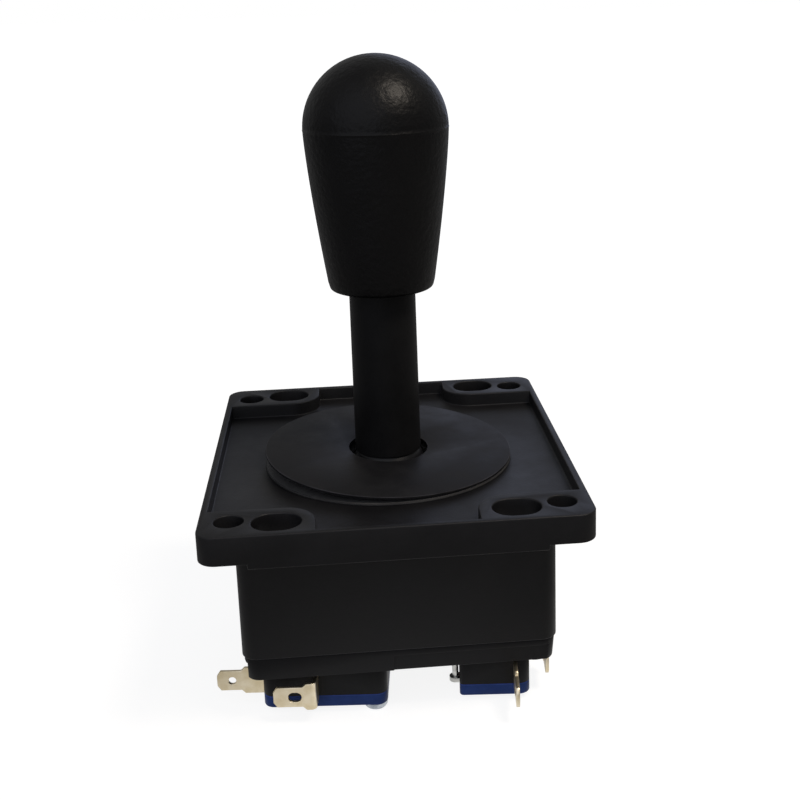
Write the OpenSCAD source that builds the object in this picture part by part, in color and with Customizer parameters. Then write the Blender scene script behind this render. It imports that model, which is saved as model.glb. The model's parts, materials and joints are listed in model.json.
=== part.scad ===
// Bat-top arcade joystick: a panel plate moulded with its body, a ball pivot, a
// sprung shaft, and four lever switches hung in a pinwheel under the base.
// The origin is the centre of the plate's top face, and +Z runs up the stick.

/* [Plate] */
// Width of the mounting plate, left to right
plate_w = 82.55; // [80:0.05:90]
// Depth of the mounting plate, front to back
plate_d = 95.25; // [94:0.05:104]
// Thickness of the mounting plate
plate_t = 6.35; // [5.8:0.05:8]
// Radius of the plate's corners
plate_r = 4; // [2:0.25:5]
// Width of the rim round the pocket in the top face
rim_w = 1.5; // [1.2:0.1:2.2]
// Depth of the pocket in the top face
pocket_h = 3.35; // [3:0.05:3.8]
// Width of the apron under the plate's front and back edges
apron_w = 62; // [40:1:70]
// Drop of the apron below the plate
apron_h = 1.1; // [0.6:0.1:2]
// Thickness of the apron, front to back
apron_t = 1.8; // [1.2:0.1:3]

/* [Mounting holes] */
// Spacing of the slots, left to right
slot_x = 50; // [46:0.1:51]
// Spacing of the slots, front to back
slot_y = 82.6; // [82:0.1:84]
// Length of a slot, end to end
slot_l = 10.5; // [9:0.1:11]
// Width of a slot
slot_w = 8.6; // [7.5:0.1:9]
// Spacing of the round holes, left to right
hole_x = 69.8; // [69:0.1:71]
// Spacing of the round holes, front to back
hole_y = 79.6; // [78:0.1:82]
// Diameter of a round hole
hole_d = 6.3; // [5:0.1:6.6]
// Wall of the corner boss round its slot
boss_wall = 2.85; // [2:0.05:3.2]

/* [Body] */
// Width of the body, left to right
body_w = 69.8; // [68:0.1:72]
// Depth of the body, front to back
body_d = 69.8; // [68:0.1:71]
// Height of the body below the plate
body_h = 28.75; // [26:0.25:34]
// Wall of the body
body_wall = 2.4; // [1.8:0.1:3]
// Radius of the body's upright corners
body_r = 3.6; // [2.5:0.1:5]
// Radius of the corner posts that take the base screws
post_r = 3.6; // [3.2:0.1:4]
// Distance of each corner post from the body's side faces
post_inset = 4.9; // [4.8:0.1:5.4]
// Thickness of the ribs between the pivot hub and the posts
rib_t = 1.8; // [1.2:0.1:3]
// Drop of the ribs below the plate
rib_h = 9; // [6:0.5:9.5]

/* [Pivot] */
// Depth of the pivot centre below the plate's top face
pivot_drop = 6; // [5.8:0.05:6.4]
// Radius of the pivot ball
ball_r = 9; // [8.6:0.05:9.1]
// Height of the ball's flat top above its centre
ball_top = 5.2; // [4.8:0.1:5.4]
// Depth of the ball's flat foot below its centre
ball_foot = 7; // [6:0.1:7.4]
// Radial clearance of the ball in its socket
socket_gap = 0.06; // [0.03:0.01:0.1]
// Radial clearance of the ball in the throat over the socket
throat_gap = 0.3; // [0.2:0.05:0.5]
// Radius where the socket ends and the flare starts
socket_exit_r = 7.2; // [7:0.1:7.6]
// Radius of the flare at its lower end
flare_r = 8.5; // [8.2:0.1:9]
// Radius of the hub that holds the socket
hub_r = 12.5; // [12.3:0.1:13]
// Drop of the hub below the plate
hub_h = 9.65; // [9.2:0.05:10.5]

/* [Shaft] */
// Largest tilt of the stick each way, in degrees
tilt_max = 8; // [6:0.5:8]
// Radius of the steel shaft
shaft_r = 4.76; // [4.4:0.01:4.8]
// Radial clearance of the pieces that slip on the shaft
slip = 0.05; // [0.03:0.01:0.08]
// Length of the shaft inside the grip
shaft_in_grip = 39.6; // [25:0.1:45]
// Chamfer on the shaft's ends
shaft_chamfer = 0.6; // [0.3:0.1:1]
// Radius of the shaft sleeve at its foot
sleeve_foot_r = 7.8; // [7.3:0.05:7.9]
// Radius of the shaft sleeve under the grip
sleeve_head_r = 7.7; // [7:0.05:7.9]

/* [Grip] */
// Height of the grip's underside above the plate's top face
grip_z = 38.9; // [32:0.1:44]
// Radius of the grip's underside
grip_foot_r = 12.1; // [11:0.05:13]
// Radius of the grip where the dome meets the taper
grip_r = 16.5; // [15:0.05:17]
// Height of the tapered part of the grip
grip_taper_h = 36.8; // [32:0.1:40]
// Rounding of the grip's lower edge
grip_edge = 0.7; // [0.4:0.1:1.5]
// Width and depth of the mould line round the grip
seam_line = 0.22; // [0.1:0.01:0.3]

/* [Dust washers] */
// Radius of both dust washers
washer_r = 29.25; // [28:0.05:29.6]
// Radius of the hole in both dust washers
washer_hole_r = 9.4; // [9.35:0.05:9.6]
// Thickness of a dust washer
washer_t = 0.6; // [0.4:0.05:0.8]
// Lean of the loose upper washer, in degrees
washer_lean = 3.15; // [2.5:0.05:3.4]
// Direction of the upper washer's low side, in degrees from the right
washer_turn = -35; // [-60:5:60]

/* [Base] */
// Width and depth of the base at its top edge
base_w = 69.2; // [68.6:0.1:69.6]
// Inset of the base's lower edge from its top edge
base_draft = 0.5; // [0.2:0.05:0.8]
// Height of the base
base_h = 5.4; // [5:0.1:7]
// Thickness of the base's floor
base_floor = 2.6; // [2.2:0.1:3]
// Wall of the base tray and of the gate collar
base_wall = 2.2; // [1.6:0.1:2.4]
// Height of the relief along one half of each side
relief_h = 3.8; // [2:0.1:4.4]
// Depth of that relief
relief_t = 0.3; // [0.2:0.1:0.8]
// Reach of the relief past the middle of its side
relief_in = 1.7; // [0:0.1:4]
// Radius of the gate's corners
gate_r = 8; // [5:0.1:9]

/* [Spring and actuator] */
// Radius of the spring's coil at its wire centre
coil_r = 10.3; // [9.8:0.05:10.6]
// Diameter of the spring wire
wire_d = 1.3; // [1:0.05:1.4]
// Number of turns of the spring
coil_turns = 5.5; // [4.5:0.5:6]
// Thickness of the spring's seat washer
seat_t = 1; // [0.6:0.1:1.5]
// Inner radius of the seat washer
seat_in_r = 8.2; // [7.9:0.05:8.6]
// Height of the fitted spring
spring_h = 10; // [9.6:0.1:12]
// Radius of the actuator's flange
flange_r = 12.3; // [12:0.1:13]
// Thickness of the actuator's flange
flange_t = 1.6; // [1.2:0.1:2.4]
// Radius of the actuator's collar in the gate
collar_r = 9; // [8:0.05:9.2]
// Radius of the actuator's nose between the levers
nose_r = 7.6; // [7:0.05:7.8]
// Distance of the actuator's foot above the switches' undersides
nose_rise = 1.1; // [0.9:0.1:2]
// Thickness of the retaining clip
clip_t = 0.9; // [0.6:0.1:1]
// Radius of the retaining clip
clip_r = 7; // [6.5:0.1:7.4]
// Depth of the clip's groove in the shaft
groove_h = 1; // [0.6:0.05:1.2]

/* [Switches] */
// Length of a switch case
sw_l = 28; // [27.5:0.1:28.4]
// Width of a switch case, from its back to the plunger's face
sw_w = 16; // [15.6:0.1:16.2]
// Height of a switch, case and cover together
sw_h = 10; // [9.8:0.1:10.8]
// Thickness of the coloured cover
cover_t = 2.8; // [2.2:0.1:2.8]
// Distance of a switch's middle from the joystick's centre line, along its length
sw_off = 17.4; // [17:0.1:18]
// Distance of a switch's back from the joystick's centre
sw_back = 30.2; // [30:0.1:30.6]
// Skew of each switch, in degrees
sw_skew = 5; // [4:0.5:6]
// Wall of a switch case
case_wall = 1.3; // [1:0.05:1.4]
// Rounding of a case's corners at its back
case_back_r = 2.5; // [1.5:0.1:2.5]
// Rounding of a case's corners at the plunger's face
case_face_r = 1; // [0.6:0.1:1.4]
// Distance of a fixing hole from the case's edges
fix_inset = 2.8; // [2.7:0.05:3]
// Spacing of the two fixing holes across the case
fix_w = 10.3; // [10.2:0.05:10.5]
// Radius of a fixing hole
fix_r = 1.6; // [1.55:0.01:1.7]
// Radius of the locating peg in a fixing hole
peg_r = 1.5; // [1.4:0.01:1.52]

/* [Terminals] */
// Thickness of a terminal
tab_t = 0.8; // [0.6:0.05:0.9]
// Width of a terminal's blade
tab_w = 4.75; // [4.6:0.05:4.8]
// Width of a terminal's shoulder
tab_shoulder_w = 6.35; // [6:0.05:6.5]
// Diameter of the hole in the end terminal
tab_hole_d = 1.8; // [1.4:0.1:2.2]
// Length of the end terminal outside the case
end_tab_l = 10.6; // [9.5:0.1:12]
// Length of the end terminal's shoulder
end_shoulder_l = 4.3; // [3.5:0.1:5]
// Distance of the end terminal from the case's back
end_tab_in = 3.3; // [3:0.1:3.6]
// Distance of the bent terminal from the case's back
bent_off = 4.6; // [3.5:0.1:5]
// Length of the bent terminal, shoulder and blade
bent_tab_l = 9.5; // [8.5:0.1:10.5]
// Length of the bent terminal's shoulder
bent_shoulder_l = 2.2; // [2:0.1:3]
// Length of the slot in the bent terminal
bent_hole_l = 3; // [2.4:0.1:3.4]
// Width of the slot in the bent terminal
bent_hole_w = 2.3; // [1.8:0.1:2.6]
// Place of the contacts along the case
contact_in = 4.4; // [4:0.1:5]
// Radius of the fixed contact
contact_r = 1.1; // [0.8:0.1:1.3]
// Place of the bent terminal's root along the case
bent_root = 12.6; // [11:0.1:13]

/* [Levers and plungers] */
// Thickness of a switch lever
lever_t = 0.4; // [0.3:0.05:0.5]
// Width of a switch lever
lever_w = 3.6; // [3:0.1:3.6]
// Length of a switch lever from its hinge
lever_l = 33; // [30:0.5:34]
// Radius of a lever's trunnion
trunnion_r = 0.7; // [0.6:0.01:0.75]
// Radial clearance of a trunnion in its ears
trunnion_gap = 0.07; // [0.04:0.01:0.1]
// Wall of an ear round its trunnion
ear_wall = 0.6; // [0.5:0.05:0.9]
// Place of the lever's hinge along the case
hinge_in = 2.2; // [2:0.1:2.4]
// Stand-off of the lever's hinge from the plunger's face
hinge_off = 0.9; // [0.85:0.05:1]
// Clearance between the pressed lever and the tilted actuator
lever_gap = 0.3; // [0.25:0.05:0.4]
// Turn of a lever for each degree of tilt
lever_ratio = 1; // [1:0.05:1.1]
// Place of the plunger along the case
plunger_in = 7.9; // [7.8:0.1:8.4]
// Radius of a plunger's stem
plunger_r = 1.6; // [1.4:0.05:1.7]
// Radial clearance of a plunger in its bore
plunger_gap = 0.08; // [0.04:0.01:0.1]
// Gap between a plunger's tip and the lever at rest
plunger_lift = 0.2; // [0.15:0.01:0.3]
// Length of a plunger's stem inside the case wall
plunger_inner = 5.8; // [5.6:0.1:6]

/* [Screws] */
// Radius of a screw's shank
screw_r = 1.45; // [1.35:0.01:1.48]
// Radius of a base screw's head
base_head_r = 2.6; // [2.3:0.05:2.7]
// Radius of a switch screw's head
switch_head_r = 2.7; // [2.4:0.05:2.8]
// Height of a screw's head
screw_head_h = 1.7; // [1.4:0.1:2]
// Grip of a base screw in its post
base_screw_grip = 10; // [7:0.5:12]
// Grip of a switch screw in the base
switch_screw_grip = 4.6; // [3.5:0.1:4.8]
// Half width of a driver slot
slot_half = 0.35; // [0.25:0.05:0.45]

/* [Hidden] */
$fn = 64;
eps = 0.01;
running = 0.05;
side_gap = 0.35;

black_plastic = "#26262b";
base_black = "#1e1e21";
grip_black = "#19191c";
steel = "#b8bcc2";
zinc = "#c9cbce";
cover_blue = "#20356f";
tin = "#d6c8ab";

// Levels, from the plate down to the screw heads
floor_z = -pocket_h;
plate_z = -plate_t;
body_z = plate_z - body_h;
base_z = body_z - base_h;
tray_z = base_z + base_floor;
switch_z = base_z - sw_h;
seam_z = switch_z + cover_t;
foot_z = switch_z - screw_head_h;
pivot_z = -pivot_drop;
hub_z = plate_z - hub_h;
seat_z = hub_z - seat_t;
flange_z = seat_z - spring_h;
nose_z = switch_z + nose_rise;
shaft_z = nose_z - clip_t - 2 * shaft_chamfer - 0.2;
shaft_top = grip_z + shaft_in_grip;
sleeve_z = pivot_z + ball_top;
dome_z = grip_z + grip_taper_h;

// The gate clears the collar at full tilt
gate_half = collar_r / cos(tilt_max) + (pivot_z - base_z) * tan(tilt_max) + side_gap;

// Places of the corner posts and of a switch's holes, with s along a case from its
// terminal end and t across it from its back
post_x = body_w / 2 - post_inset;
post_y = body_d / 2 - post_inset;
screw_at = [sw_l - fix_inset, fix_inset];
peg_at = [fix_inset, fix_inset + fix_w];

// The lever runs in the middle of the case's height, clear of the cover
lever_z = seam_z + (sw_h - cover_t) / 2 - 0.5;
ear_t = 1;
ear_gap = 0.2;
hinge_t = sw_w + hinge_off;

// Hinge of the front switch's lever, seen from above
hinge_x = -sw_off + (hinge_in - sw_l / 2) * cos(sw_skew) + hinge_t * sin(sw_skew);
hinge_y = -sw_back - (hinge_in - sw_l / 2) * sin(sw_skew) + hinge_t * cos(sw_skew);

// Lean of the pressed and of the resting lever from the plunger's face
swing = (pivot_z - (lever_z - lever_w / 2)) * tan(tilt_max);
nose_reach = swing + nose_r / cos(tilt_max * sqrt(2)) + lever_gap;
pressed_lean = sw_skew - atan((nose_reach + lever_t / 2 + hinge_y) / (-swing - hinge_x));
lever_lean = pressed_lean + lever_ratio * tilt_max;

// Tip of a plunger under the resting lever
plunger_tip = hinge_t + (plunger_in - hinge_in) * tan(lever_lean) - lever_t / 2 - plunger_lift;
blade_t = sw_w - case_wall - plunger_inner - 1.2;

// Rounded rectangle about the origin, with true arcs
module rounded(w, d, r) {
    square([w - 2 * r, d], center = true);
    square([w, d - 2 * r], center = true);
    for (x = [-1, 1], y = [-1, 1])
        translate([x * (w / 2 - r), y * (d / 2 - r)]) circle(r);
}

module at_corners(x, y) {
    for (i = [-1, 1], j = [-1, 1]) translate([i * x, j * y, 0]) children();
}

module slot(l, w) {
    square([l - w, w], center = true);
    for (x = [-1, 1]) translate([x * (l - w) / 2, 0]) circle(w / 2);
}

module ring(outer, inner, h) {
    difference() {
        cylinder(r = outer, h = h);
        translate([0, 0, -eps]) cylinder(r = inner, h = h + 2 * eps);
    }
}

// Outline of the corner boss round a slot and a hole, in the back right corner
module boss_outline() {
    round_r = slot_w / 2 + boss_wall;
    end_x = slot_x / 2 - slot_l / 2 + slot_w / 2;
    translate([end_x, slot_y / 2]) circle(round_r);
    translate([end_x, slot_y / 2 - round_r]) square([plate_w / 2 - end_x, plate_d / 2]);
    translate([end_x - round_r, slot_y / 2]) square([plate_w / 2 - end_x, plate_d / 2]);
}

module pocket_outline() {
    difference() {
        rounded(plate_w - 2 * rim_w, plate_d - 2 * rim_w, plate_r - rim_w);
        for (i = [0, 1], j = [0, 1])
            mirror([i, 0]) mirror([0, j]) boss_outline();
    }
}

module plate() {
    difference() {
        translate([0, 0, plate_z]) linear_extrude(plate_t) rounded(plate_w, plate_d, plate_r);
        translate([0, 0, floor_z]) linear_extrude(pocket_h + 1) pocket_outline();
    }
    for (y = [-1, 1])
        translate([-apron_w / 2, y * (plate_d - apron_t) / 2 - apron_t / 2, plate_z - apron_h])
            cube([apron_w, apron_t, apron_h + eps]);
}

module body_shell() {
    inner_r = max(body_r - body_wall, 0.6);
    translate([0, 0, body_z]) linear_extrude(body_h + eps) difference() {
        rounded(body_w, body_d, body_r);
        rounded(body_w - 2 * body_wall, body_d - 2 * body_wall, inner_r);
    }
    translate([0, 0, body_z]) at_corners(post_x, post_y) cylinder(r = post_r, h = body_h + eps);
}

// Ribs from the hub out to the corner posts
module hub_ribs() {
    reach = norm([post_x, post_y]);
    for (a = [0 : 90 : 270])
        rotate(a + 45)
            translate([hub_r - 1, -rib_t / 2, plate_z - rib_h])
                cube([reach - hub_r, rib_t, rib_h + eps]);
}

// Ball seat, throat above it and the flare below, which runs on into the seat
module socket_cut() {
    seat_r = ball_r + socket_gap;
    exit_z = pivot_z - sqrt(pow(seat_r, 2) - pow(socket_exit_r, 2));
    flare_h = exit_z - hub_z;
    run_on = 0.5;
    top_r = socket_exit_r - run_on * (flare_r - socket_exit_r) / flare_h;
    translate([0, 0, pivot_z]) sphere(seat_r);
    translate([0, 0, pivot_z]) cylinder(r = ball_r + throat_gap, h = pivot_drop);
    translate([0, 0, hub_z - eps]) cylinder(r1 = flare_r, r2 = top_r, h = flare_h + run_on + eps);
}

module housing() {
    color(black_plastic) difference() {
        union() {
            plate();
            body_shell();
            hub_ribs();
            translate([0, 0, hub_z]) cylinder(r = hub_r, h = hub_h + eps);
        }
        socket_cut();
        translate([0, 0, plate_z - eps]) linear_extrude(plate_t + 1) {
            at_corners(slot_x / 2, slot_y / 2) slot(slot_l, slot_w);
            at_corners(hole_x / 2, hole_y / 2) circle(hole_d / 2);
        }
        translate([0, 0, body_z - eps]) at_corners(post_x, post_y)
            cylinder(r = screw_r + running, h = base_screw_grip + 1);
    }
}

// Places a piece in one of the four switches, numbered from the front one
// anticlockwise; s runs from the terminal end, t from the back, z stays upright
module in_switch(n) {
    rotate(90 * n) translate([-sw_off, -sw_back, 0]) rotate(-sw_skew)
        translate([-sw_l / 2, 0, 0]) children();
}

module base_outline(inset) {
    rounded(base_w - 2 * inset, base_w - 2 * inset, body_r - inset);
}

module base_tray() {
    difference() {
        hull() {
            translate([0, 0, body_z - eps]) linear_extrude(eps, $fn = 32) base_outline(0);
            translate([0, 0, base_z]) linear_extrude(eps, $fn = 32) base_outline(base_draft);
        }
        translate([0, 0, tray_z]) linear_extrude(base_h) base_outline(base_draft + base_wall);
        for (a = [0 : 90 : 270])
            rotate(a) translate([-relief_in, -base_w / 2 - 1, base_z - 1])
                cube([base_w, 1 + base_draft + relief_t, relief_h + 1]);
    }
    translate([0, 0, base_z]) linear_extrude(base_h)
        rounded(2 * (gate_half + base_wall), 2 * (gate_half + base_wall), gate_r + base_wall);
    translate([0, 0, base_z]) at_corners(post_x, post_y)
        cylinder(r = post_r + side_gap, h = base_h);
}

module switch_base() {
    color(base_black) difference() {
        union() {
            base_tray();
            for (n = [0 : 3]) in_switch(n) {
                translate([screw_at.x, screw_at.y, base_z]) cylinder(r = 2 * fix_r, h = base_h);
                translate([peg_at.x, peg_at.y, switch_z + side_gap]) cylinder(r = peg_r, h = sw_h);
            }
        }
        translate([0, 0, base_z - eps]) {
            linear_extrude(base_h + 1) rounded(2 * gate_half, 2 * gate_half, gate_r);
            at_corners(post_x, post_y) {
                cylinder(r = screw_r + running, h = base_h + 1);
                cylinder(r = base_head_r + side_gap, h = base_floor + eps);
            }
            for (n = [0 : 3]) in_switch(n) translate([screw_at.x, screw_at.y, 0])
                cylinder(r = screw_r + running, h = switch_screw_grip + 0.2);
        }
    }
}

// The upper washer leans on the lower one at its low side
module dust_washer() {
    lean_z = floor_z + 2 * washer_t + washer_r * sin(washer_lean);
    color("#303036") translate([0, 0, lean_z - washer_t + running])
        rotate(washer_turn) rotate([0, washer_lean, 0]) ring(washer_r, washer_hole_r, washer_t);
}

module lower_washer() {
    color("#2b2b30") translate([0, 0, floor_z]) ring(washer_r, washer_hole_r, washer_t);
}

// Radius of the tapered part of the grip, with a slight swell towards the dome
function taper_r(f) = grip_r - (grip_r - grip_foot_r) * pow(1 - f, 1.3);

module grip_profile() {
    steps = 16;
    edge = [for (a = [0 : 15 : 75]) [grip_foot_r - grip_edge + grip_edge * sin(a),
        grip_z + grip_edge - grip_edge * cos(a)]];
    taper = [for (i = [1 : steps]) let (f = i / steps)
        [taper_r(f) - (i == steps ? seam_line : 0),
         grip_z + f * grip_taper_h - (i == steps ? seam_line : 0)]];
    dome = [for (a = [0 : 5 : 85]) [grip_r * cos(a) - (a == 0 ? seam_line : 0),
        dome_z + grip_r * sin(a)]];
    polygon(concat([[0, grip_z]], edge, taper, [[grip_r, dome_z + seam_line]],
        [for (i = [1 : len(dome) - 1]) dome[i]], [[0, dome_z + grip_r]]));
}

module grip() {
    color(grip_black) difference() {
        rotate_extrude() grip_profile();
        translate([0, 0, grip_z - eps]) cylinder(r = shaft_r + slip, h = shaft_in_grip + 0.3);
    }
}

module shaft_sleeve() {
    color(grip_black) difference() {
        translate([0, 0, sleeve_z])
            cylinder(r1 = sleeve_foot_r, r2 = sleeve_head_r, h = grip_z - sleeve_z);
        translate([0, 0, sleeve_z - 1]) cylinder(r = shaft_r + slip, h = grip_z - sleeve_z + 2);
    }
}

module shaft() {
    neck = shaft_r - groove_h;
    groove_top = nose_z;
    groove_foot = nose_z - clip_t - 0.1;
    color(steel) rotate_extrude() polygon([
        [0, shaft_z], [shaft_r - shaft_chamfer, shaft_z], [shaft_r, shaft_z + shaft_chamfer],
        [shaft_r, groove_foot], [neck, groove_foot], [neck, groove_top],
        [shaft_r, groove_top], [shaft_r, shaft_top - shaft_chamfer],
        [shaft_r - shaft_chamfer, shaft_top], [0, shaft_top]]);
}

module pivot_ball() {
    color(grip_black) translate([0, 0, pivot_z]) difference() {
        intersection() {
            sphere(ball_r);
            translate([0, 0, -ball_foot]) cylinder(r = ball_r + 1, h = ball_foot + ball_top);
        }
        translate([0, 0, -ball_r]) cylinder(r = shaft_r + slip, h = 2 * ball_r);
    }
}

module spring_seat() {
    color(zinc) translate([0, 0, seat_z]) ring(hub_r - 0.2, seat_in_r, seat_t);
}

// Height of the wire's centre after u turns: closed end turns, open between them
function coil_z(u) = let (closed = 1.1, pitch = wire_d + 0.04,
        open = (spring_h - wire_d - 2 * closed * pitch) / (coil_turns - 2 * closed))
    wire_d / 2 + (u < closed ? u * pitch
        : u > coil_turns - closed ? spring_h - wire_d - (coil_turns - u) * pitch
        : closed * pitch + (u - closed) * open);

module return_spring() {
    sides = 8;
    steps = 16;
    rings = coil_turns * steps;
    wire = [for (i = [0 : rings], k = [0 : sides - 1])
        let (a = 360 * i / steps, b = 360 * k / sides, r = coil_r + wire_d / 2 * cos(b))
        [r * cos(a), r * sin(a), coil_z(i / steps) + wire_d / 2 * sin(b)]];
    walls = [for (i = [0 : rings - 1], k = [0 : sides - 1])
        let (n = (k + 1) % sides)
        [i * sides + k, i * sides + n, (i + 1) * sides + n, (i + 1) * sides + k]];
    ends = [[for (k = [sides - 1 : -1 : 0]) k], [for (k = [0 : sides - 1]) rings * sides + k]];
    color(steel) translate([0, 0, flange_z]) polyhedron(wire, concat(walls, ends));
}

module actuator() {
    step_z = base_z - 0.6;
    lip = 0.5;
    color("#f0efe8") rotate_extrude() polygon([
        [shaft_r + slip, flange_z], [flange_r, flange_z], [flange_r, flange_z - flange_t],
        [collar_r, flange_z - flange_t], [collar_r, step_z + lip], [collar_r - lip, step_z],
        [nose_r, step_z], [nose_r, nose_z + lip], [nose_r - lip, nose_z],
        [shaft_r + slip, nose_z]]);
}

module retaining_clip() {
    hold_r = shaft_r - groove_h + running;
    color(steel) translate([0, 0, nose_z - clip_t]) difference() {
        cylinder(r = clip_r, h = clip_t);
        translate([0, 0, -1]) {
            cylinder(r = hold_r, h = clip_t + 2);
            rotate(-45) translate([0, -hold_r * 0.9, 0]) cube([clip_r + 1, 1.8 * hold_r, clip_t + 2]);
            for (a = [75, 195])
                rotate(a) translate([hold_r, 0, 0]) cylinder(r = hold_r * 0.35, h = clip_t + 2);
        }
    }
}

// Pan head screw with its head down, its seat at z = 0 and a cross recess
module pan_screw(head, grip) {
    round_r = screw_head_h * 0.7;
    arc = [for (a = [0 : 15 : 90]) [head - round_r + round_r * cos(a),
        -screw_head_h + round_r - round_r * sin(a)]];
    difference() {
        rotate_extrude() polygon(concat([[0, grip], [screw_r, grip], [screw_r, 0], [head, 0]],
            arc, [[0, -screw_head_h]]));
        for (a = [0, 90]) rotate(a) translate([-head / 2, -slot_half, -screw_head_h - 1])
            cube([head, 2 * slot_half, 2]);
    }
}

module base_screws() {
    color(zinc) translate([0, 0, tray_z]) at_corners(post_x, post_y)
        pan_screw(base_head_r, base_h - base_floor + base_screw_grip);
}

module switch_screws() {
    color(zinc) for (n = [0 : 3]) in_switch(n)
        translate([screw_at.x, screw_at.y, switch_z])
            pan_screw(switch_head_r, sw_h + switch_screw_grip);
}

// Outline of a switch seen from above, back edge on t = 0
module case_outline() {
    back = case_back_r;
    face = case_face_r;
    translate([back, back]) circle(back);
    translate([sw_l - back, back]) circle(back);
    translate([face, sw_w - face]) circle(face);
    translate([sw_l - face, sw_w - face]) circle(face);
    translate([back, 0]) square([sw_l - 2 * back, back]);
    translate([0, back]) square([sw_l, sw_w - back - face]);
    translate([face, sw_w - face]) square([sw_l - 2 * face, face]);
}

module fixing_holes(h) {
    translate([screw_at.x, screw_at.y, -1]) cylinder(r = fix_r, h = h + 2);
    translate([peg_at.x, peg_at.y, -1]) cylinder(r = fix_r, h = h + 2);
}

// Ears that carry the lever's trunnion
module ears() {
    ear_r = trunnion_r + trunnion_gap + ear_wall;
    for (z = [-1, 1])
        translate([hinge_in, 0, lever_z + z * (lever_w / 2 + ear_gap + ear_t / 2) - ear_t / 2]) {
            translate([0, hinge_t, 0]) cylinder(r = ear_r, h = ear_t);
            translate([-ear_r, sw_w - eps, 0]) cube([2 * ear_r, hinge_off + eps, ear_t]);
        }
}

module case_body() {
    h = sw_h - cover_t;
    boss_r = fix_r + 0.9;
    difference() {
        union() {
            translate([0, 0, seam_z]) linear_extrude(h) case_outline();
            ears();
        }
        difference() {
            translate([case_wall, case_wall, seam_z - 1])
                cube([sw_l - 2 * case_wall, sw_w - 2 * case_wall, h + 1 - case_wall]);
            for (p = [screw_at, peg_at])
                translate([p.x, p.y, seam_z - 2]) cylinder(r = boss_r, h = h + 2);
        }
        translate([0, 0, seam_z]) fixing_holes(h);
        translate([hinge_in, hinge_t, seam_z - 1])
            cylinder(r = trunnion_r + trunnion_gap, h = h + 2);
        translate([plunger_in, sw_w + 1, lever_z]) rotate([90, 0, 0])
            cylinder(r = plunger_r + plunger_gap, h = case_wall + 2);
        tab_slots();
    }
}

// Slots in the case for the two terminals
module tab_slots() {
    slot_h = tab_w + 2 * running;
    slot_t = tab_t + 2 * running;
    translate([-1, end_tab_in - slot_t / 2, tab_z() - slot_h / 2])
        cube([case_wall + 2, slot_t, slot_h]);
    translate([bent_root - tab_t - running, -1, tab_z() - slot_h / 2])
        cube([slot_t, case_wall + 2, slot_h]);
}

function tab_z() = seam_z + tab_w / 2 + 2 * running;

module cover_body() {
    difference() {
        translate([0, 0, switch_z]) linear_extrude(cover_t) case_outline();
        translate([0, 0, switch_z]) fixing_holes(cover_t);
    }
}

// Flat terminal outline: blade tip at x = 0, shoulder, then the part in the case
module tab_outline(total, shoulder, inner) {
    tip = tab_w * 0.24;
    blade = total - shoulder;
    half = tab_w / 2;
    wide = tab_shoulder_w / 2;
    step = wide - half;
    polygon([[0, half - tip], [tip * 0.7, half], [blade - step, half], [blade, wide],
        [total, wide], [total, half], [total + inner, half], [total + inner, -half],
        [total, -half], [total, -wide], [blade, -wide], [blade - step, -half],
        [tip * 0.7, -half], [0, tip - half]]);
}

// Flat terminal out of the case's end, with the fixed contact inside
module end_tab_body() {
    contact_t = blade_t - 1.8 - end_tab_in;
    translate([-end_tab_l, end_tab_in + tab_t / 2, tab_z()]) rotate([90, 0, 0])
        linear_extrude(tab_t) difference() {
            tab_outline(end_tab_l, end_shoulder_l, contact_in + contact_r + side_gap);
            translate([tab_hole_d * 1.9, 0]) circle(tab_hole_d / 2);
        }
    translate([contact_in, end_tab_in + contact_t, tab_z()]) rotate([90, 0, 0])
        cylinder(r = contact_r, h = contact_t);
}

// Terminal out of the case's back, turned to run along it
module bent_tab_body() {
    blade_l = bent_tab_l - bent_shoulder_l;
    bend_r = 1.5 * tab_t;
    wide = tab_shoulder_w;
    step = (wide - tab_w) / 2;
    tip_s = bent_root - bent_tab_l;
    intersection() {
        translate([0, 0, tab_z() - wide / 2]) linear_extrude(wide) bent_strip(bend_r);
        translate([tip_s, blade_t, tab_z()]) rotate([90, 0, 0])
            linear_extrude(blade_t + bent_off + 1) difference() {
                union() {
                    tab_outline(bent_tab_l, bent_shoulder_l, 0);
                    translate([blade_l, -wide / 2]) square([bent_shoulder_l, wide]);
                }
                translate([tab_w, 0]) slot(bent_hole_l, bent_hole_w);
            }
        union() {
            translate([tip_s - 1, -bent_off - 1, tab_z() - wide / 2])
                cube([bent_tab_l + 2, bent_off + 1 - running, wide]);
            translate([tip_s - 1, -running - eps, tab_z() - tab_w / 2])
                cube([bent_tab_l + 2, blade_t + 1, tab_w]);
        }
    }
}

// Section of the bent terminal, seen from above
module bent_strip(bend_r) {
    inner_r = bend_r - tab_t;
    bend_s = bent_root - bend_r;
    bend_t = bend_r - bent_off;
    translate([bent_root - tab_t, bend_t]) square([tab_t, blade_t - bend_t]);
    translate([bent_root - bent_tab_l, -bent_off]) square([bent_tab_l - bend_r, tab_t]);
    translate([bend_s, bend_t]) intersection() {
        difference() {
            circle(bend_r);
            circle(inner_r);
        }
        translate([0, -bend_r]) square(bend_r);
    }
}

// Spring blade inside the case, from the bent terminal to the moving contact
module blade_body() {
    blade_start = contact_in - 1;
    blade_end = 20;
    blade_w = 3.4;
    thick = 0.25;
    translate([blade_start, blade_t, tab_z() - blade_w / 2])
        cube([blade_end - blade_start, thick, blade_w]);
    translate([contact_in, blade_t, tab_z()]) rotate([90, 0, 0]) cylinder(r = 1, h = 0.8);
}

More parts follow.
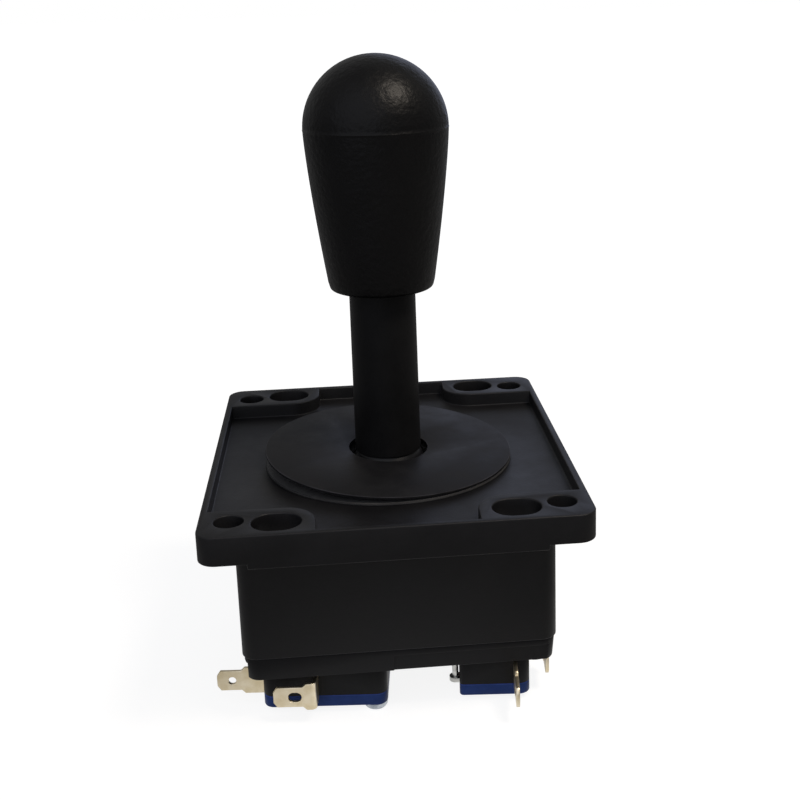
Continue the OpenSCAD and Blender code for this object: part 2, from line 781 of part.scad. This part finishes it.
// Stem through the case wall, stop flange inside and a domed tip
module plunger_body() {
    inner = sw_w - case_wall - plunger_inner;
    dome_r = plunger_r + 0.6;
    edge_a = asin(plunger_r / dome_r);
    flange_r = plunger_r + 0.7;
    flange_end = sw_w - case_wall - 1.1;
    flange_start = flange_end - 0.8;
    dome_t = plunger_tip - dome_r;
    translate([plunger_in, 0, lever_z]) rotate([-90, 0, 0]) rotate_extrude()
        polygon(concat([[0, inner], [plunger_r, inner], [plunger_r, flange_start],
            [flange_r, flange_start], [flange_r, flange_end], [plunger_r, flange_end]],
            [for (i = [6 : -1 : 0]) let (a = edge_a * i / 6)
                [dome_r * sin(a), dome_t + dome_r * cos(a)]]));
}

module lever_body() {
    height = lever_w + 2 * (ear_gap + ear_t);
    translate([hinge_in, hinge_t, 0]) {
        translate([0, 0, lever_z - height / 2]) cylinder(r = trunnion_r, h = height);
        rotate(lever_lean) translate([0, -lever_t / 2, lever_z - lever_w / 2])
            cube([lever_l, lever_t, lever_w]);
    }
}

module switch_case(n) { color("#1a1a1c") in_switch(n) case_body(); }
module switch_cover(n) { color(cover_blue) in_switch(n) cover_body(); }
module lever(n) { color(steel) in_switch(n) lever_body(); }
module plunger(n) { color("#8c1c18") in_switch(n) plunger_body(); }
module end_tab(n) { color(tin) in_switch(n) end_tab_body(); }
module bent_tab(n) { color(tin) in_switch(n) bent_tab_body(); }
module contact_blade(n) { color("#c08a50") in_switch(n) blade_body(); }

housing();
switch_base();
dust_washer();
lower_washer();
grip();
shaft_sleeve();
shaft();
pivot_ball();
spring_seat();
return_spring();
actuator();
retaining_clip();
base_screws();
switch_screws();
switch_case(0);  // front_case
switch_case(1);  // right_case
switch_case(2);  // back_case
switch_case(3);  // left_case
switch_cover(0);  // front_cover
switch_cover(1);  // right_cover
switch_cover(2);  // back_cover
switch_cover(3);  // left_cover
lever(0);  // front_lever
lever(1);  // right_lever
lever(2);  // back_lever
lever(3);  // left_lever
plunger(0);  // front_plunger
plunger(1);  // right_plunger
plunger(2);  // back_plunger
plunger(3);  // left_plunger
end_tab(0);  // front_end_tab
end_tab(1);  // right_end_tab
end_tab(2);  // back_end_tab
end_tab(3);  // left_end_tab
bent_tab(0);  // front_bent_tab
bent_tab(1);  // right_bent_tab
bent_tab(2);  // back_bent_tab
bent_tab(3);  // left_bent_tab
contact_blade(0);  // front_blade
contact_blade(1);  // right_blade
contact_blade(2);  // back_blade
contact_blade(3);  // left_blade
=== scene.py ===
import json
from math import cos, pi, radians, sin

import bmesh
import bpy
from mathutils import Matrix, Vector


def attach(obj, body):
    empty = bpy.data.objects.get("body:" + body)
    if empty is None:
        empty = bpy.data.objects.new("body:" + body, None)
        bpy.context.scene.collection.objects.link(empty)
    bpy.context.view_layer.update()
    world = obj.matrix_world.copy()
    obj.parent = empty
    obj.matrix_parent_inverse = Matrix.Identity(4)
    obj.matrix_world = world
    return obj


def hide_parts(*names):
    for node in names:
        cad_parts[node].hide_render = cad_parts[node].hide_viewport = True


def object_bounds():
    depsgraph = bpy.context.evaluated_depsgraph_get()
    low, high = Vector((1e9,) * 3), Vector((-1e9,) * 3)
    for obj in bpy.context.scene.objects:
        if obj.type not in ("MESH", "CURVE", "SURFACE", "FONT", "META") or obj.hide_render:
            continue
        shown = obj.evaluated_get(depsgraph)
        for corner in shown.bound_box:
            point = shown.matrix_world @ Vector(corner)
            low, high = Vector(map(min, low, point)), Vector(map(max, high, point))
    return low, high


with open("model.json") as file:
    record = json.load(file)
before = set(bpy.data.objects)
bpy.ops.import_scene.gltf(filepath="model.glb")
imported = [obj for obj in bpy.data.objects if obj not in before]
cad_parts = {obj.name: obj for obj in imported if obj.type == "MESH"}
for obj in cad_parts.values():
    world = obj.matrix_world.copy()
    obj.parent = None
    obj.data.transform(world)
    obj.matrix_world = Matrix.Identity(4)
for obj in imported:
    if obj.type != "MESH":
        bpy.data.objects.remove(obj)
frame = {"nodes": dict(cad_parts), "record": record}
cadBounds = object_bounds()
mm = 0.001
print("frame loaded:", len(frame["nodes"]), "nodes")

# Camera: a little left of the stick and above the plate, at arm's length
shot = {
    "place": (-9.12, -276.07, 103.83),   # mm from the centre of the plate's top
    "turn": (75.86, 1.45, -5.42),        # degrees
    "lens": 54.81,                       # mm
    "shift": (-0.060, -0.1205),
    "nearest": 10, "farthest": 100000,   # mm
}
camera = bpy.data.objects.new("camera", bpy.data.cameras.new("camera"))
camera.location = [v * mm for v in shot["place"]]
camera.rotation_euler = [radians(v) for v in shot["turn"]]
camera.data.lens = shot["lens"]
camera.data.shift_x, camera.data.shift_y = shot["shift"]
camera.data.clip_start = shot["nearest"] * mm
camera.data.clip_end = shot["farthest"] * mm
bpy.context.scene.collection.objects.link(camera)
bpy.context.scene.camera = camera
bpy.context.scene.view_settings.view_transform = "Standard"
print("camera placed")


def toLinear(code):
    # "#rrggbb" in sRGB to the linear colour that the shaders take
    parts = [int(code[i:i + 2], 16) / 255 for i in (1, 3, 5)]
    return [c / 12.92 if c <= 0.04045 else ((c + 0.055) / 1.055) ** 2.4
            for c in parts] + [1]


def perMm(size):
    # Texture scale at which one cell of a pattern is size millimetres wide
    return 1 / (size * mm)


def put(tree, kind, inputs=(), stops=(), **settings):
    # Adds a node: its settings, its inputs as values or links, and a ramp's stops
    node = tree.nodes.new(kind)
    for name, value in settings.items():
        setattr(node, name, value)
    for key, value in dict(inputs).items():
        if isinstance(value, bpy.types.NodeSocket):
            tree.links.new(value, node.inputs[key])
        else:
            node.inputs[key].default_value = value
    for index, (place, colour) in enumerate(stops):
        ramp = node.color_ramp.elements
        stop = ramp[index] if index < len(ramp) else ramp.new(place)
        stop.position = place
        stop.color = colour
    return node


def startMaterial(name):
    material = bpy.data.materials.new(name)
    material.use_nodes = True
    tree = material.node_tree
    shader = tree.nodes["Principled BSDF"]
    place = put(tree, "ShaderNodeTexCoord").outputs["Object"]
    return material, tree, shader, place


# Moulded plastics and punched sheet. Grain is the surface's own texture, cloud the slow
# change in tone that handling and dust leave, both in mm and as coarse as they need to
# show; edge is the tone of a rounded edge: rubbed wear and a painted highlight in one.
plastics = {
    "etchedBlackAbs": {      # housing: spark-eroded mould, dull, faint sheen at low angles
        "colour": "#0e0e10", "worn": "#151517", "rough": (0.4, 0.54), "specular": 0.22,
        "grain": 0.5, "grainDepth": 0.02, "cloud": 14, "edge": "#19191c"},
    "satinBlackAbs": {       # switch base: the same resin from a smoother tool, more even
        "colour": "#131315", "worn": "#1b1b1d", "rough": (0.4, 0.52), "specular": 0.14,
        "grain": 0.7, "grainDepth": 0.012, "cloud": 11, "edge": "#1f1f22"},
    "handledBlackPp": {      # grip: moulded orange peel, polished in patches by hands
        "colour": "#060607", "worn": "#09090a", "rough": (0.33, 0.46), "specular": 0.15,
        "grain": 1.2, "grainDepth": 0.15, "cloud": 9, "edge": "#3a3a3e"},
    "satinBlackNylon": {     # shaft sleeve: moulded smooth, a little waxy
        "colour": "#0f0f10", "worn": "#151516", "rough": (0.38, 0.48), "specular": 0.1,
        "grain": 0.6, "grainDepth": 0.01, "cloud": 9, "edge": "#1b1b1d"},
    "punchedBlackSheet": {   # upper washer: matt polyethylene, its punched edge lighter: wear and a painted glint
        "colour": "#141416", "worn": "#1c1c1e", "rough": (0.46, 0.6), "specular": 0.12,
        "grain": 0.35, "grainDepth": 0.01, "cloud": 7, "edge": "#343438"},
    "paintedLightBlackSheet": {   # lower washer: the same sheet, painted light grey to stand in for light in the upper one's shade
        "colour": "#3c3c3d", "worn": "#4a4a4a", "rough": (0.46, 0.6), "specular": 0.12,
        "grain": 0.35, "grainDepth": 0.01, "cloud": 7, "edge": "#2e2e30"},
    "mouldedBlackPbt": {     # switch cases: glass-filled, matt, with faint flow marks
        "colour": "#111112", "worn": "#1b1b1d", "rough": (0.42, 0.56), "specular": 0.14,
        "grain": 0.4, "grainDepth": 0.01, "cloud": 5, "edge": "#2c2c30"},
    "mouldedBluePbt": {      # switch covers: deep even blue, slightly glossier
        "colour": "#243a72", "worn": "#2f4682", "rough": (0.34, 0.46), "specular": 0.14,
        "grain": 0.5, "grainDepth": 0.01, "cloud": 6, "edge": "#3a51a0"},
    "mouldedRedPbt": {       # plungers: bright red, with a shine where the lever rubs
        "colour": "#8a1c14", "worn": "#9a2c20", "rough": (0.3, 0.42), "specular": 0.5,
        "grain": 0.5, "grainDepth": 0.006, "cloud": 3, "edge": "#b04034"},
    "mouldedBlackAcetal": {  # pivot ball: dense and smooth, with a low, even gloss
        "colour": "#0e0e10", "worn": "#17171a", "rough": (0.3, 0.42), "specular": 0.2,
        "grain": 0.8, "grainDepth": 0.006, "cloud": 6, "edge": "#222226"},
    "mouldedWhiteAcetal": {  # actuator: undyed, milky, with a low gloss
        "colour": "#d9d5c8", "worn": "#c7c2b2", "rough": (0.32, 0.45), "specular": 0.5,
        "grain": 0.8, "grainDepth": 0.006, "cloud": 6, "edge": "#e8e5da"},
}
# What the plastics share: how finely the clouds break up and which part of them turns
# the tone and the gloss, and where the edge's wear and painted highlight show (size in mm)
plasticMarks = {"cloudDetail": 5, "cloudBreak": 0.62, "tone": (0.38, 0.72),
                "gloss": (0.3, 0.7), "wearAndHighlightSize": 6, "wearAndHighlightDetail": 3, "wearAndHighlightSpan": (0.35, 0.65),
                "leastWearAndHighlight": 0.25, "grainDetail": 2, "grainBreak": 0.5}


def mouldedPlastic(name):
    look, marks = plastics[name], plasticMarks
    material, tree, shader, place = startMaterial(name)
    cloud = put(tree, "ShaderNodeTexNoise", {
        "Vector": place, "Scale": perMm(look["cloud"]), "Detail": marks["cloudDetail"],
        "Roughness": marks["cloudBreak"]}).outputs["Fac"]
    dark, light = marks["tone"]
    tone = put(tree, "ShaderNodeValToRGB", {"Fac": cloud}, stops=[
        (dark, toLinear(look["colour"])), (light, toLinear(look["worn"]))]).outputs["Color"]
    # Rounded edges take the edge tone: rubbed wear and a painted highlight, broken up by
    # noise
    rim = put(tree, "ShaderNodeAttribute", attribute_name="rim").outputs["Fac"]
    wearAndHighlightNoise = put(tree, "ShaderNodeTexNoise", {
        "Vector": place, "Scale": perMm(marks["wearAndHighlightSize"]),
        "Detail": marks["wearAndHighlightDetail"]}).outputs["Fac"]
    low, high = marks["wearAndHighlightSpan"]
    wearAndHighlight = put(tree, "ShaderNodeMapRange", {
        "Value": wearAndHighlightNoise, "From Min": low, "From Max": high, "To Min": marks["leastWearAndHighlight"],
        "To Max": 1}).outputs["Result"]
    edge = put(tree, "ShaderNodeMath", {0: rim, 1: wearAndHighlight}, operation="MULTIPLY").outputs[0]
    colour = put(tree, "ShaderNodeMix", {0: edge, 6: tone, 7: toLinear(look["edge"])},
                 data_type="RGBA").outputs[2]
    tree.links.new(colour, shader.inputs["Base Color"])
    low, high = marks["gloss"]
    rough = put(tree, "ShaderNodeMapRange", {
        "Value": cloud, "From Min": low, "From Max": high,
        "To Min": look["rough"][0], "To Max": look["rough"][1]})
    tree.links.new(rough.outputs["Result"], shader.inputs["Roughness"])
    grain = put(tree, "ShaderNodeTexNoise", {
        "Vector": place, "Scale": perMm(look["grain"]), "Detail": marks["grainDetail"],
        "Roughness": marks["grainBreak"]}).outputs["Fac"]
    bump = put(tree, "ShaderNodeBump", {
        "Height": grain, "Strength": 1, "Distance": look["grainDepth"] * mm})
    tree.links.new(bump.outputs["Normal"], shader.inputs["Normal"])
    shader.inputs["Specular IOR Level"].default_value = look["specular"]
    return material


# Metals. Lines are the marks of rolling, drawing or turning: their spacing and depth in
# mm, drawn as coarse as they need to show, and which way they run as the stretch of the
# pattern along X, Y and Z.
metals = {
    "tinnedBrass": {         # terminals: stamped, then tinned; warm where the tin is thin
        "colour": "#f2e6cb", "dull": "#e4d5b2", "rough": (0.34, 0.44), "cloud": 3.5,
        "lines": 0.3, "stretch": (1, 1, 0.12), "depth": 0.006},
    "zincPlatedSteel": {     # screws and the spring's seat: plated, bright, bluish, blotchy
        "colour": "#c4c9cf", "dull": "#959ca4", "rough": (0.24, 0.42), "cloud": 1.6,
        "lines": 0.4, "stretch": (1, 1, 1), "depth": 0.004},
    "turnedSteel": {         # shaft: fine rings left by the lathe
        "colour": "#bfc2c6", "dull": "#9a9da1", "rough": (0.2, 0.34), "cloud": 5,
        "lines": 0.35, "stretch": (0.03, 0.03, 1), "depth": 0.004},
    "drawnSpringWire": {     # return spring and clip: dark wire with a film of oil
        "colour": "#8f9193", "dull": "#6a6b6c", "rough": (0.26, 0.4), "cloud": 2,
        "lines": 0.3, "stretch": (1, 1, 1), "depth": 0.003},
    "rolledStainless": {     # levers and their brackets: rolled strip with lines along it
        "colour": "#cfcfcc", "dull": "#b0b0ac", "rough": (0.3, 0.44), "cloud": 3,
        "lines": 0.25, "stretch": (0.1, 0.1, 1), "depth": 0.003},
    "rolledBerylliumCopper": {  # contact blades: rolled strip, reddish, lines along it
        "colour": "#c98f5a", "dull": "#a87040", "rough": (0.25, 0.4), "cloud": 2,
        "lines": 0.25, "stretch": (0.1, 0.1, 1), "depth": 0.003},
}
# What the metals share: how finely the clouds break up, and which part of them turns the
# tone and the gloss
metalMarks = {"cloudDetail": 4, "cloudBreak": 0.6, "tone": (0.35, 0.6),
              "gloss": (0.65, 0.35), "lineDetail": 2}


def wornMetal(name):
    look, marks = metals[name], metalMarks
    material, tree, shader, place = startMaterial(name)
    shader.inputs["Metallic"].default_value = 1
    cloud = put(tree, "ShaderNodeTexNoise", {
        "Vector": place, "Scale": perMm(look["cloud"]), "Detail": marks["cloudDetail"],
        "Roughness": marks["cloudBreak"]}).outputs["Fac"]
    dark, light = marks["tone"]
    tone = put(tree, "ShaderNodeValToRGB", {"Fac": cloud}, stops=[
        (dark, toLinear(look["dull"])), (light, toLinear(look["colour"]))])
    tree.links.new(tone.outputs["Color"], shader.inputs["Base Color"])
    low, high = marks["gloss"]
    rough = put(tree, "ShaderNodeMapRange", {
        "Value": cloud, "From Min": low, "From Max": high,
        "To Min": look["rough"][0], "To Max": look["rough"][1]})
    tree.links.new(rough.outputs["Result"], shader.inputs["Roughness"])
    along = put(tree, "ShaderNodeMapping", {
        "Vector": place, "Scale": look["stretch"]}).outputs["Vector"]
    lines = put(tree, "ShaderNodeTexNoise", {
        "Vector": along, "Scale": perMm(look["lines"]),
        "Detail": marks["lineDetail"]}).outputs["Fac"]
    bump = put(tree, "ShaderNodeBump", {
        "Height": lines, "Strength": 1, "Distance": look["depth"] * mm})
    tree.links.new(bump.outputs["Normal"], shader.inputs["Normal"])
    return material


finishes = {name: mouldedPlastic(name) for name in plastics}
finishes.update({name: wornMetal(name) for name in metals})
print("materials made:", len(finishes))

# Edges: angles in degrees and lengths in mm. An edge needs "room" times its width of
# clear face beside it, measured where the next edge lies more across it than along it.
edgeWork = {"smoothBelow": 38, "roundAbove": 30, "flatBelow": 0.4,
            "merge": 0.012, "weld": 0.0005, "room": 2.3, "across": 0.7}


def addPiece(name, bm, node, finish):
    # A finished mesh in place of a CAD node: same body, same slot, smooth but for its
    # sharp edges
    for face in bm.faces:
        face.smooth = True
    sharp = radians(edgeWork["smoothBelow"])
    for edge in bm.edges:
        edge.smooth = len(edge.link_faces) == 2 and edge.calc_face_angle(pi) < sharp
    mesh = bpy.data.meshes.new(name)
    bm.to_mesh(mesh)
    bm.free()
    piece = bpy.data.objects.new(name, mesh)
    bpy.context.scene.collection.objects.link(piece)
    mesh.materials.append(finishes[finish])
    bodies = frame["record"]["behaviour"]["bodies"]
    body = next(key for key, names in bodies.items() if node in names)
    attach(piece, body)
    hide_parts(node)
    return piece


def hasRoom(edge, chosen, width):
    # True where no other edge to be rounded runs close by, straight across either face
    tiny = 1e-18   # keeps an edge without length from dividing by nothing
    middle = (edge.verts[0].co + edge.verts[1].co) / 2
    along = (edge.verts[1].co - edge.verts[0].co).normalized()
    for face in edge.link_faces:
        across = face.normal.cross(along)
        for other in face.edges:
            if other not in chosen or set(other.verts) & set(edge.verts):
                continue
            start, end = other.verts[0].co, other.verts[1].co
            span = end - start
            part = (middle - start).dot(span) / max(span.length_squared, tiny)
            away = start + span * min(max(part, 0), 1) - middle
            beside = abs(away.dot(across)) > edgeWork["across"] * away.length
            if away.length < edgeWork["room"] * width and beside:
                return False
    return True


def roundedCopy(node, finish, width, segments, clamp=False):
    # A copy of a CAD node, its triangles merged into flat faces and its edges rounded
    # wherever there is room; the rim attribute marks the roundings, where the finish is
    # rubbed and a highlight is painted
    bm = bmesh.new()
    bm.from_mesh(frame["nodes"][node].data)
    bmesh.ops.remove_doubles(bm, verts=bm.verts, dist=edgeWork["merge"] * mm)
    bmesh.ops.dissolve_limit(bm, angle_limit=radians(edgeWork["flatBelow"]), verts=bm.verts,
                             edges=bm.edges, delimit=set())
    turn = radians(edgeWork["roundAbove"])
    chosen = [e for e in bm.edges if len(e.link_faces) == 2 and e.calc_face_angle(0) > turn]
    known = set(chosen)
    edges = [e for e in chosen if hasRoom(e, known, width * mm)]
    rim = bm.faces.layers.float.new("rim")
    made = bmesh.ops.bevel(bm, geom=edges, offset=width * mm, offset_type="OFFSET",
                           profile=0.5, segments=segments, affect="EDGES",
                           clamp_overlap=clamp, material=-1)
    for face in made["faces"]:
        face[rim] = 1
    bmesh.ops.remove_doubles(bm, verts=bm.verts, dist=edgeWork["weld"] * mm)
    print("rounded", node, len(edges), "of", len(chosen), "edges")
    return addPiece(node + "_rounded", bm, node, finish)


# Turning: steps round the stick, and in mm how close two corners are before they are one
lathe = {"steps": 128, "merge": 0.001, "weld": 0.0005}


def turnedPiece(node, finish, outline):
    # A closed outline of (radius, height) in mm turned about the stick's centre line
    bm = bmesh.new()
    loop = [bm.verts.new((max(x, 0) * mm, 0, z * mm)) for x, z in outline]
    edges = [bm.edges.new(pair) for pair in zip(loop, loop[1:] + loop[:1])]
    bmesh.ops.spin(bm, geom=loop + edges, cent=(0, 0, 0), axis=(0, 0, 1), angle=2 * pi,
                   steps=lathe["steps"], use_merge=True)
    bmesh.ops.remove_doubles(bm, verts=bm.verts, dist=lathe["merge"] * mm)
    bmesh.ops.dissolve_degenerate(bm, edges=bm.edges, dist=lathe["weld"] * mm)
    bmesh.ops.recalc_face_normals(bm, faces=bm.faces)
    return addPiece(node + "_turned", bm, node, finish)


# Grip, in mm: rounded foot, taper with a slight swell, the mould's flash line standing
# proud under the dome, and the bore that takes the shaft
gripLook = {"foot": 38.9, "footRadius": 12.1, "radius": 16.5, "taper": 36.8, "swell": 1.3,
            "edge": 0.9, "line": 0.22, "proud": 0.3, "fade": 0.4, "bore": 4.81,
            "boreDepth": 39.9}
# Steps of the foot's rounding and of the dome in degrees; slices of the taper, and the
# first of them that lies above the rounding
gripSteps = {"edge": 10, "dome": 3, "taper": 60, "firstTaper": 3}


def gripOutline():
    g = gripLook
    dome = g["foot"] + g["taper"]
    line = g["line"]
    proud = g["radius"] + line * g["proud"]
    points = [(g["footRadius"] - g["edge"] * (1 - sin(radians(a))),
               g["foot"] + g["edge"] * (1 - cos(radians(a))))
              for a in range(0, 90, gripSteps["edge"])]
    for i in range(gripSteps["firstTaper"], gripSteps["taper"] + 1):
        f = i / gripSteps["taper"]
        width = g["radius"] - (g["radius"] - g["footRadius"]) * (1 - f) ** g["swell"]
        if f * g["taper"] < g["taper"] - line:
            points.append((width, g["foot"] + f * g["taper"]))
    points += [(g["radius"], dome - line), (proud, dome - line * g["proud"]),
               (proud, dome), (g["radius"], dome + line * g["fade"])]
    points += [(g["radius"] * cos(radians(a)), dome + g["radius"] * sin(radians(a)))
               for a in range(gripSteps["dome"], 90, gripSteps["dome"])]
    top = g["foot"] + g["boreDepth"]
    return points + [(0, dome + g["radius"]), (0, top), (g["bore"], top),
                     (g["bore"], g["foot"])]


# Sleeve, in mm: a plain tube with a slight taper and chamfered ends
sleeveLook = {"foot": -0.8, "head": 38.9, "footRadius": 7.8, "headRadius": 7.7,
              "bore": 4.81, "edge": 0.3}


def sleeveOutline():
    t = sleeveLook
    return [(t["bore"], t["foot"]), (t["footRadius"] - t["edge"], t["foot"]),
            (t["footRadius"], t["foot"] + t["edge"]),
            (t["headRadius"], t["head"] - t["edge"]),
            (t["headRadius"] - t["edge"], t["head"]), (t["bore"], t["head"])]


turnedPiece("grip", "handledBlackPp", gripOutline())
turnedPiece("shaft_sleeve", "satinBlackNylon", sleeveOutline())
print("grip and sleeve turned")

# Rounded pieces: finish, width of the rounding in mm, steps across it, and True where the
# width has to give way to slots too fine for it
rounded = {
    "housing": ("etchedBlackAbs", 0.28, 3),
    "switch_base": ("satinBlackAbs", 0.16, 2),
    "dust_washer": ("punchedBlackSheet", 0.15, 2),
    # the lower washer's pale finish is painted light that lifts its crescent out of the
    # upper washer's shade
    "lower_washer": ("paintedLightBlackSheet", 0.15, 2),
    "spring_seat": ("zincPlatedSteel", 0.12, 2),
    "actuator": ("mouldedWhiteAcetal", 0.15, 2),
    "retaining_clip": ("drawnSpringWire", 0.1, 2),
    "base_screws": ("zincPlatedSteel", 0.08, 1),
    "switch_screws": ("zincPlatedSteel", 0.08, 1),
}
sides = ("front", "right", "back", "left")   # each a quarter turn on from the last
for side in sides:
    rounded[side + "_case"] = ("mouldedBlackPbt", 0.15, 2, True)
    rounded[side + "_cover"] = ("mouldedBluePbt", 0.25, 2)
    rounded[side + "_end_tab"] = ("tinnedBrass", 0.08, 1)
    rounded[side + "_bent_tab"] = ("tinnedBrass", 0.08, 1)
    rounded[side + "_plunger"] = ("mouldedRedPbt", 0.1, 1)
    rounded[side + "_lever"] = ("rolledStainless", 0.05, 1)
pieces = {node: roundedCopy(node, *look) for node, look in rounded.items()}
print("rounded pieces:", len(rounded))

# The lever's hinge ears on each case are a pressed steel bracket: all that stands clear
# of the case's inner side. Corner of the front switch and its width in mm, skew in degrees.
switch = {"along": -17.4, "back": -30.2, "skew": 5, "width": 16, "clear": 0.03}
corner = Vector((switch["along"], switch["back"], 0)) * mm
inward = Vector((sin(radians(switch["skew"])), cos(radians(switch["skew"])), 0))
for turn, side in enumerate(sides):
    mesh = pieces[side + "_case"].data
    mesh.materials.append(finishes["rolledStainless"])
    toFront = Matrix.Rotation(-turn * pi / 2, 3, "Z")
    for face in mesh.polygons:
        depth = (toFront @ face.center - corner).dot(inward)
        if depth > (switch["width"] + switch["clear"]) * mm:
            face.material_index = 1
print("brackets finished:", len(sides))

# The nodes that keep their CAD shape get their finish alone
carried = {"shaft": "turnedSteel", "pivot_ball": "mouldedBlackAcetal",
           "return_spring": "drawnSpringWire"}
for side in sides:
    carried[side + "_blade"] = "rolledBerylliumCopper"
for node, finish in carried.items():
    mesh = frame["nodes"][node].data
    mesh.materials.clear()
    mesh.materials.append(finishes[finish])
print("finishes on the kept nodes:", len(carried))

# Lamps, all round and in mm: a soft one above and to the right that gives the dome its
# highlight, a wide fill from the front left, and a weak glow from behind
lamps = {
    "window": {"place": (300, -240, 612), "size": 260, "watts": 3.2, "colour": "#fff3e4"},
    "frontFill": {"place": (-420, -720, 520), "size": 1500, "watts": 3.9,
                  "colour": "#eef2ff"},
    "backGlow": {"place": (300, 800, 300), "size": 640, "watts": 0.55,
                 "colour": "#c6d4ff"},
}
lampAim = 20   # mm above the plate, on the stick's centre line
for name, lamp in lamps.items():
    data = bpy.data.lights.new(name, "AREA")
    data.shape = "DISK"
    data.size = lamp["size"] * mm
    data.color = toLinear(lamp["colour"])[:3]
    data.energy = lamp["watts"]
    light = bpy.data.objects.new(name, data)
    light.location = [v * mm for v in lamp["place"]]
    toStick = Vector((0, 0, lampAim * mm)) - light.location
    light.rotation_euler = toStick.to_track_quat("-Z", "Y").to_euler()
    bpy.context.scene.collection.objects.link(light)

# Sky: an even white, at full strength to the eye and through anything clear, dimmer
# where a glossy surface mirrors it, and dimmer still as light on the stick
sky = {"colour": "#ffffff", "seen": 1.0, "mirrored": 0.3, "light": 0.17}
world = bpy.data.worlds.new("studio")
bpy.context.scene.world = world
world.use_nodes = True
tree = world.node_tree
path = put(tree, "ShaderNodeLightPath")
direct = put(tree, "ShaderNodeMath", {
    0: path.outputs["Is Camera Ray"], 1: path.outputs["Is Transmission Ray"]},
    operation="MAXIMUM").outputs[0]
mirrored = put(tree, "ShaderNodeMapRange", {
    "Value": path.outputs["Is Glossy Ray"], "To Min": sky["light"],
    "To Max": sky["mirrored"]}).outputs["Result"]
strength = put(tree, "ShaderNodeMapRange", {
    "Value": direct, "To Min": mirrored, "To Max": sky["seen"]}).outputs["Result"]
tree.links.new(strength, tree.nodes["Background"].inputs["Strength"])
tree.nodes["Background"].inputs["Color"].default_value = toLinear(sky["colour"])

# Floor: matt pale sheet just under the screw heads, white to the eye, with the stick's
# soft shadow. Its glow is a little lower near the stick, so that the shadow shows, and
# what glossy surfaces mirror of it fades away from the stick. Lengths in mm.
floorLook = {"reach": 12000, "gap": 0.05, "colour": "#8c8c8c",
             "near": 150, "far": 650, "nearGlow": 0.88, "farGlow": 1.0,
             "under": 66, "beyond": 92, "mirroredUnder": 0.72, "mirroredBeyond": 0.12}
floorZ = cadBounds[0][2] - floorLook["gap"] * mm
bm = bmesh.new()
bmesh.ops.create_grid(bm, x_segments=1, y_segments=1, size=floorLook["reach"] * mm,
                      matrix=Matrix.Translation((0, 0, floorZ)))
mesh = bpy.data.meshes.new("floor")
bm.to_mesh(mesh)
bm.free()
floor = bpy.data.objects.new("floor", mesh)
bpy.context.scene.collection.objects.link(floor)
material = bpy.data.materials.new("mattPaleSheet")
material.use_nodes = True
tree = material.node_tree
tree.nodes.remove(tree.nodes["Principled BSDF"])
path = put(tree, "ShaderNodeLightPath")
direct = put(tree, "ShaderNodeMath", {
    0: path.outputs["Is Camera Ray"], 1: path.outputs["Is Transmission Ray"]},
    operation="MAXIMUM").outputs[0]
away = put(tree, "ShaderNodeVectorMath", {
    0: put(tree, "ShaderNodeTexCoord").outputs["Object"]},
    operation="LENGTH").outputs["Value"]
level = put(tree, "ShaderNodeMapRange", {
    "Value": away, "From Min": floorLook["near"] * mm, "From Max": floorLook["far"] * mm,
    "To Min": floorLook["nearGlow"], "To Max": floorLook["farGlow"]}).outputs["Result"]
shown = put(tree, "ShaderNodeMapRange", {
    "Value": away, "From Min": floorLook["under"] * mm,
    "From Max": floorLook["beyond"] * mm, "To Min": floorLook["mirroredUnder"],
    "To Max": floorLook["mirroredBeyond"]}).outputs["Result"]
mirrored = put(tree, "ShaderNodeMapRange", {
    "Value": path.outputs["Is Glossy Ray"], "To Min": 0, "To Max": shown}).outputs["Result"]
glow = put(tree, "ShaderNodeMapRange", {
    "Value": direct, "To Min": mirrored, "To Max": level}).outputs["Result"]
matt = put(tree, "ShaderNodeBsdfDiffuse", {"Color": toLinear(floorLook["colour"])})
shine = put(tree, "ShaderNodeEmission", {"Strength": glow})
both = put(tree, "ShaderNodeAddShader", {0: matt.outputs[0], 1: shine.outputs[0]})
tree.links.new(both.outputs[0], tree.nodes["Material Output"].inputs["Surface"])
mesh.materials.append(material)
print("light and floor set")
